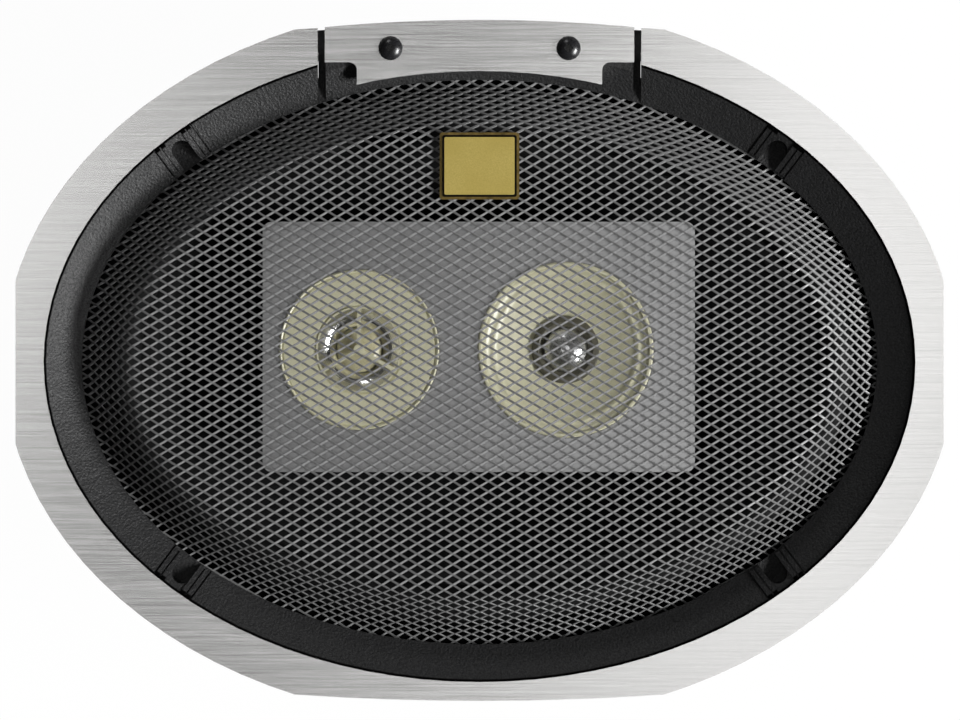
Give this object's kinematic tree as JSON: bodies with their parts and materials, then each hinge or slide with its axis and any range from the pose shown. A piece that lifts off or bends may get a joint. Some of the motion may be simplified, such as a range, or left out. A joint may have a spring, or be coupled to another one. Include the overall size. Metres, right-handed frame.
{
  "type": "coaxial car speaker",
  "caption": "Oval coaxial car speaker with a domed expanded-metal grille, brushed trim ring, bare badge, and a tweeter and midrange on a bridge in front of the woofer cone.",
  "frame": {"origin": "middle of the panel screw pattern on the flange's back face, which is the panel's face", "axes": "+Z out of the grille towards the listener, +X along the long axis, +Y towards the badge and the clamp plate"},
  "size_m": [0.258, 0.1893, 0.106],
  "materials": {
    "brushed_aluminium": "straight brushed, satin",
    "screw_black": "black oxide",
    "grained_plastic": "fine leather grain",
    "mesh_metal": "grey coated steel, satin",
    "badge_bronze": "dark bronze, bevelled",
    "badge_gold": "satin gold",
    "basket_paint": "black powder coat",
    "steel": "zinc plated",
    "gasket": "foam",
    "rubber": "matte",
    "cone_paper": "black coated paper",
    "former": "brown film",
    "copper": "enamelled copper wire",
    "cloth": "resin-stiffened cloth",
    "ferrite": "dark grey sintered",
    "post_black": "black",
    "bridge_grey": "satin light grey",
    "capacitor": "sleeved",
    "cream": "satin cream",
    "chrome": "bright",
    "film": "thin film",
    "dark_ring": "dark",
    "bright_dome": "bright",
    "board": "phenolic board",
    "plated_brass": "bright",
    "plated_tin": "tin plated",
    "neodymium": "nickel plated"
  },
  "bodies": {
    "chassis": {"trim_ring": "brushed_aluminium", "clamp_plate": "brushed_aluminium", "clamp_screws": "screw_black", "clamp_block": "grained_plastic", "grille_frame": "grained_plastic", "grille_mesh": "mesh_metal", "mesh_retainer": "grained_plastic", "badge_base": "badge_bronze", "badge_plate": "badge_gold", "badge_clips": "steel", "basket": "basket_paint", "basket_rivets": "steel", "surround_gasket": "gasket", "surround": "rubber", "spider": "cloth", "top_plate": "steel", "magnet": "ferrite", "yoke": "steel", "centre_post": "post_black", "post_bolt": "steel", "driver_bridge": "bridge_grey", "bridge_screws": "steel", "capacitor_mid": "capacitor", "capacitor_tweeter": "capacitor", "tweeter_body": "cream", "tweeter_bowl": "chrome", "tweeter_guard": "cream", "tweeter_suspension": "film", "tweeter_pole_plate": "steel", "tweeter_magnet": "neodymium", "tweeter_cup": "steel", "mid_frame": "cream", "mid_surround": "film", "mid_spider": "cloth", "mid_top_plate": "steel", "mid_magnet": "ferrite", "mid_yoke": "steel", "terminal_board": "board", "terminal_positive": "plated_brass", "terminal_negative": "plated_tin", "terminal_rivets": "plated_tin", "tinsel_leads": "copper"},
    "woofer_cone": {"cone": "cone_paper", "dust_cap": "cone_paper", "coil_former": "former", "voice_coil": "copper"},
    "mid_diaphragm": {"mid_cone": "cream", "mid_ring": "dark_ring", "mid_dome": "bright_dome", "mid_coil": "copper"},
    "tweeter_diaphragm": {"tweeter_dome": "film", "tweeter_coil": "copper"}
  },
  "joints": [
    {"name": "woofer_stroke", "type": "slide", "parent": "chassis", "child": "woofer_cone", "axis": [0, 0, 1], "range_m": [-0.004, 0.004], "stiffness_N_per_m": 3200, "deforming": ["surround", "spider", "tinsel_leads"]},
    {"name": "midrange_stroke", "type": "slide", "parent": "chassis", "child": "mid_diaphragm", "axis": [0, 0, 1], "range_m": [-0.0006, 0.0006], "stiffness_N_per_m": 2000, "deforming": ["mid_surround", "mid_spider"]},
    {"name": "tweeter_stroke", "type": "slide", "parent": "chassis", "child": "tweeter_diaphragm", "axis": [0, 0, 1], "range_m": [-0.0003, 0.0003], "stiffness_N_per_m": 1500, "deforming": ["tweeter_suspension"]}
  ]
}
